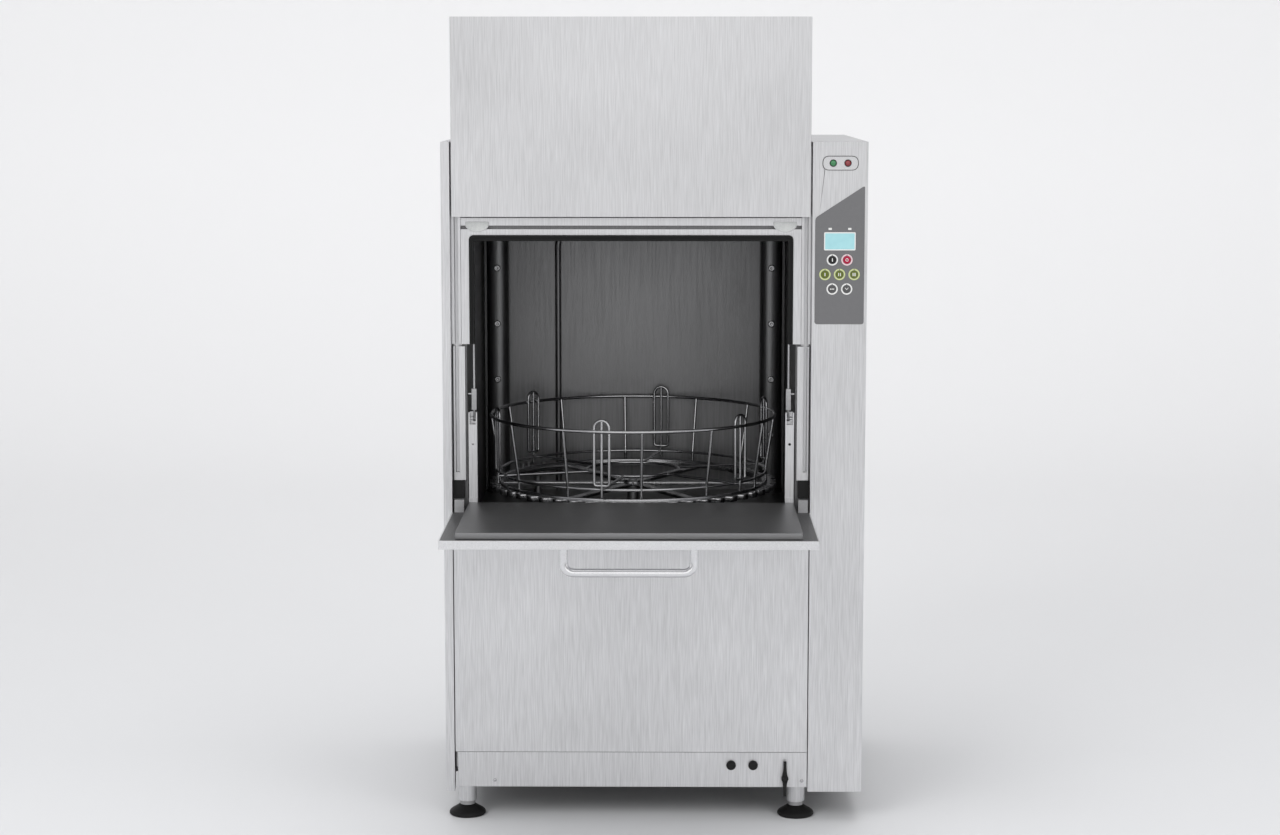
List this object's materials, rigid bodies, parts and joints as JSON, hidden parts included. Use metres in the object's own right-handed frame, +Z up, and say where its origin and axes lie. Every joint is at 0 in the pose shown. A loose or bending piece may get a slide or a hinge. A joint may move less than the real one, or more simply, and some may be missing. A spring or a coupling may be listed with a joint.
{
  "type": "granule pot washer",
  "caption": "Free-standing front-loading pot washer with a two-part door, round wire basket on a toothed turntable and a side control column.",
  "frame": {"origin": "on the floor under the centre of the outline, which runs from the open lower door's lip to the back", "axes": "+X to the right seen from the front, +Y towards the back, +Z up"},
  "size_m": [1.02, 1.247, 1.9585],
  "materials": {
    "brushed_panel": "vertical brushed grain",
    "chamber_steel": "satin, wet-room grade",
    "bright_wire": "electropolished",
    "frame_steel": "satin tube",
    "cast_metal": "cast and tumbled",
    "painted_housing": "semi-gloss paint",
    "black_rubber": "matte",
    "black_plastic": "fine spark-eroded texture",
    "overlay_grey": "printed polyester film",
    "display_glass": "clear window over a pale display",
    "green_lens": "tinted lens",
    "red_lens": "tinted lens",
    "key_black": "printed film key",
    "key_red": "printed film key",
    "key_olive": "printed film key",
    "key_grey": "printed film key"
  },
  "bodies": {
    "cabinet": {"left_side_panel": "brushed_panel", "column_casing": "brushed_panel", "column_rear_cover": "brushed_panel", "roof_panel": "brushed_panel", "rear_panel": "brushed_panel", "lower_front_panel": "brushed_panel", "kick_panel": "brushed_panel", "chamber_frame": "brushed_panel", "door_header": "brushed_panel", "left_guide_rail": "brushed_panel", "right_guide_rail": "brushed_panel", "wash_chamber": "chamber_steel", "left_wash_pipe": "chamber_steel", "right_wash_pipe": "chamber_steel", "rinse_pipe": "chamber_steel", "strainer": "chamber_steel", "wash_tank": "chamber_steel", "booster_heater": "chamber_steel", "base_frame": "frame_steel", "turntable_spindle": "frame_steel", "left_hinge_bracket": "cast_metal", "right_hinge_bracket": "cast_metal", "drain_valve": "cast_metal", "indicator_plate": "cast_metal", "control_box": "painted_housing", "wash_pump": "painted_housing", "gearmotor": "painted_housing", "front_left_foot": "black_rubber", "front_right_foot": "black_rubber", "rear_left_foot": "black_rubber", "rear_right_foot": "black_rubber", "upper_gasket": "black_rubber", "left_rail_end_block": "black_plastic", "right_rail_end_block": "black_plastic", "service_plug_1": "black_plastic", "service_plug_2": "black_plastic", "control_overlay": "overlay_grey", "display_window": "display_glass", "green_lamp": "green_lens", "red_lamp": "red_lens"},
    "lower_door": {"lower_door_shell": "brushed_panel", "lower_door_liner": "chamber_steel", "lower_door_handle": "bright_wire", "left_crank_arm": "brushed_panel", "right_crank_arm": "brushed_panel"},
    "left_rod": {"left_lift_rod": "bright_wire"},
    "right_rod": {"right_lift_rod": "bright_wire"},
    "upper_door": {"upper_door_skin": "brushed_panel", "upper_door_liner": "brushed_panel"},
    "turntable": {"turntable": "chamber_steel"},
    "pinion": {"drive_pinion": "cast_metal"},
    "basket": {"basket": "bright_wire"},
    "drain_lever": {"drain_lever": "black_plastic"},
    "start_key": {"start_key": "key_black"},
    "stop_key": {"stop_key": "key_red"},
    "short_program_key": {"short_program_key": "key_olive"},
    "normal_program_key": {"normal_program_key": "key_olive"},
    "long_program_key": {"long_program_key": "key_olive"},
    "granule_collect_key": {"granule_collect_key": "key_grey"},
    "drain_key": {"drain_key": "key_grey"}
  },
  "joints": [
    {"name": "lower_door_hinge", "type": "hinge", "parent": "cabinet", "child": "lower_door", "pos_m": [-0.0555, -0.1941, 0.763], "axis": [1, 0, 0], "range_deg": [-90, 0]},
    {"name": "upper_door_slide", "type": "slide", "parent": "cabinet", "child": "upper_door", "axis": [0, 0, 1], "range_m": [-0.2905, 0]},
    {"name": "left_rod_pivot", "type": "hinge", "parent": "lower_door", "child": "left_rod", "pos_m": [-0.4371, -0.1565, 0.9939], "axis": [1, 0, 0], "range_deg": [0, 103]},
    {"name": "right_rod_pivot", "type": "hinge", "parent": "lower_door", "child": "right_rod", "pos_m": [0.3261, -0.1565, 0.9939], "axis": [1, 0, 0], "range_deg": [0, 103]},
    {"name": "turntable_spin", "type": "hinge", "parent": "cabinet", "child": "turntable", "pos_m": [-0.0555, 0.2135, 0.78], "axis": [0, 0, 1], "continuous": true},
    {"name": "pinion_spin", "type": "hinge", "parent": "cabinet", "child": "pinion", "pos_m": [-0.3169, 0.52502, 0.78], "axis": [0, 0, 1], "continuous": true},
    {"name": "basket_lift", "type": "slide", "parent": "turntable", "child": "basket", "axis": [0, 0, 1], "range_m": [0, 0.05]},
    {"name": "drain_lever_turn", "type": "hinge", "parent": "cabinet", "child": "drain_lever", "pos_m": [0.322, -0.2025, 0.109], "axis": [0, 1, 0], "range_deg": [0, 90]},
    {"name": "start_key_press", "type": "slide", "parent": "cabinet", "child": "start_key", "axis": [0, 1, 0], "range_m": [0, 0.001], "stiffness_N_per_m": 400},
    {"name": "stop_key_press", "type": "slide", "parent": "cabinet", "child": "stop_key", "axis": [0, 1, 0], "range_m": [0, 0.001], "stiffness_N_per_m": 400},
    {"name": "short_program_key_press", "type": "slide", "parent": "cabinet", "child": "short_program_key", "axis": [0, 1, 0], "range_m": [0, 0.001], "stiffness_N_per_m": 400},
    {"name": "normal_program_key_press", "type": "slide", "parent": "cabinet", "child": "normal_program_key", "axis": [0, 1, 0], "range_m": [0, 0.001], "stiffness_N_per_m": 400},
    {"name": "long_program_key_press", "type": "slide", "parent": "cabinet", "child": "long_program_key", "axis": [0, 1, 0], "range_m": [0, 0.001], "stiffness_N_per_m": 400},
    {"name": "granule_collect_key_press", "type": "slide", "parent": "cabinet", "child": "granule_collect_key", "axis": [0, 1, 0], "range_m": [0, 0.001], "stiffness_N_per_m": 400},
    {"name": "drain_key_press", "type": "slide", "parent": "cabinet", "child": "drain_key", "axis": [0, 1, 0], "range_m": [0, 0.001], "stiffness_N_per_m": 400}
  ],
  "couplings": [
    {"joint": "upper_door_slide", "follows": "lower_door_hinge", "m_per_rad": 0.18493},
    {"joint": "left_rod_pivot", "follows": "lower_door_hinge", "ratio": -1.1443},
    {"joint": "right_rod_pivot", "follows": "lower_door_hinge", "ratio": -1.1443},
    {"joint": "pinion_spin", "follows": "turntable_spin", "ratio": -9}
  ]
}
